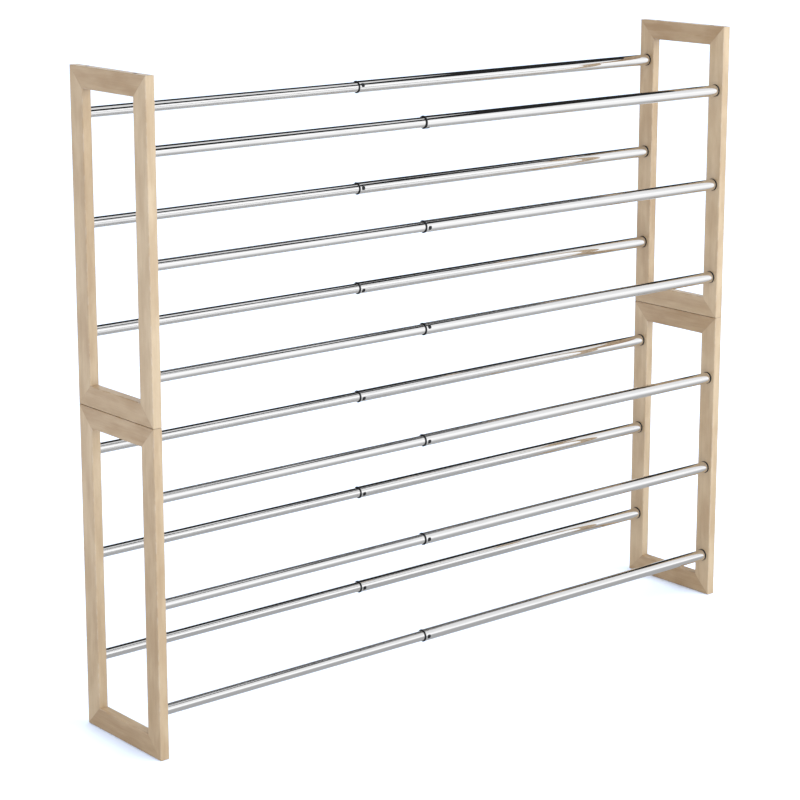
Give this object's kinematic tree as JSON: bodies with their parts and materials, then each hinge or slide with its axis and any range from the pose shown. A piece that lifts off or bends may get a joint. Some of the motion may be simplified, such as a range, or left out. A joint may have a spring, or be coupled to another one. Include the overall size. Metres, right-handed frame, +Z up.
{
  "type": "shoe rack",
  "caption": "Free-standing stackable shoe rack: mitred wooden end frames joined by telescoping chrome rails in tiers, the upper unit pinned on the lower one.",
  "frame": {"origin": "centre of the rack's footprint, on the floor, at the extension shown", "axes": "+X along the rails towards the thick tubes' frame, +Y from front to back, +Z up"},
  "size_m": [1.138, 0.188, 0.9663],
  "materials": {
    "wood": "satin lacquered pale wood",
    "chrome_tube": "polished",
    "black_plastic": "satin moulded",
    "pin_steel": "plain bright steel"
  },
  "bodies": {
    "lower_right_side": {"lower_right_bottom_bar": "wood", "lower_right_back_stile": "wood", "lower_right_top_bar": "wood", "lower_right_front_stile": "wood", "lower_front_outer_tube_1": "chrome_tube", "lower_front_bushing_1": "black_plastic", "lower_front_outer_tube_2": "chrome_tube", "lower_front_bushing_2": "black_plastic", "lower_front_outer_tube_3": "chrome_tube", "lower_front_bushing_3": "black_plastic", "lower_back_outer_tube_1": "chrome_tube", "lower_back_bushing_1": "black_plastic", "lower_back_outer_tube_2": "chrome_tube", "lower_back_bushing_2": "black_plastic", "lower_back_outer_tube_3": "chrome_tube", "lower_back_bushing_3": "black_plastic", "right_front_stacking_pin": "pin_steel", "right_back_stacking_pin": "pin_steel"},
    "lower_left_side": {"lower_left_bottom_bar": "wood", "lower_left_back_stile": "wood", "lower_left_top_bar": "wood", "lower_left_front_stile": "wood", "lower_front_inner_tube_1": "chrome_tube", "lower_front_inner_tube_2": "chrome_tube", "lower_front_inner_tube_3": "chrome_tube", "lower_back_inner_tube_1": "chrome_tube", "lower_back_inner_tube_2": "chrome_tube", "lower_back_inner_tube_3": "chrome_tube", "left_front_stacking_pin": "pin_steel", "left_back_stacking_pin": "pin_steel"},
    "upper_right_side": {"upper_right_bottom_bar": "wood", "upper_right_back_stile": "wood", "upper_right_top_bar": "wood", "upper_right_front_stile": "wood", "upper_front_outer_tube_1": "chrome_tube", "upper_front_bushing_1": "black_plastic", "upper_front_outer_tube_2": "chrome_tube", "upper_front_bushing_2": "black_plastic", "upper_front_outer_tube_3": "chrome_tube", "upper_front_bushing_3": "black_plastic", "upper_back_outer_tube_1": "chrome_tube", "upper_back_bushing_1": "black_plastic", "upper_back_outer_tube_2": "chrome_tube", "upper_back_bushing_2": "black_plastic", "upper_back_outer_tube_3": "chrome_tube", "upper_back_bushing_3": "black_plastic", "right_front_pin_hole_plug": "black_plastic", "right_back_pin_hole_plug": "black_plastic"},
    "upper_left_side": {"upper_left_bottom_bar": "wood", "upper_left_back_stile": "wood", "upper_left_top_bar": "wood", "upper_left_front_stile": "wood", "upper_front_inner_tube_1": "chrome_tube", "upper_front_inner_tube_2": "chrome_tube", "upper_front_inner_tube_3": "chrome_tube", "upper_back_inner_tube_1": "chrome_tube", "upper_back_inner_tube_2": "chrome_tube", "upper_back_inner_tube_3": "chrome_tube", "left_front_pin_hole_plug": "black_plastic", "left_back_pin_hole_plug": "black_plastic"}
  },
  "joints": [
    {"name": "lower_extension", "type": "slide", "parent": "lower_right_side", "child": "lower_left_side", "axis": [-1, 0, 0], "range_m": [-0.478, 0.031]},
    {"name": "upper_unit_lift", "type": "slide", "parent": "lower_right_side", "child": "upper_right_side", "axis": [0, 0, 1], "range_m": [0, 0.05]},
    {"name": "upper_extension", "type": "slide", "parent": "upper_right_side", "child": "upper_left_side", "axis": [-1, 0, 0], "range_m": [-0.478, 0.031]}
  ],
  "couplings": [
    {"joint": "upper_extension", "follows": "lower_extension", "ratio": 1}
  ]
}
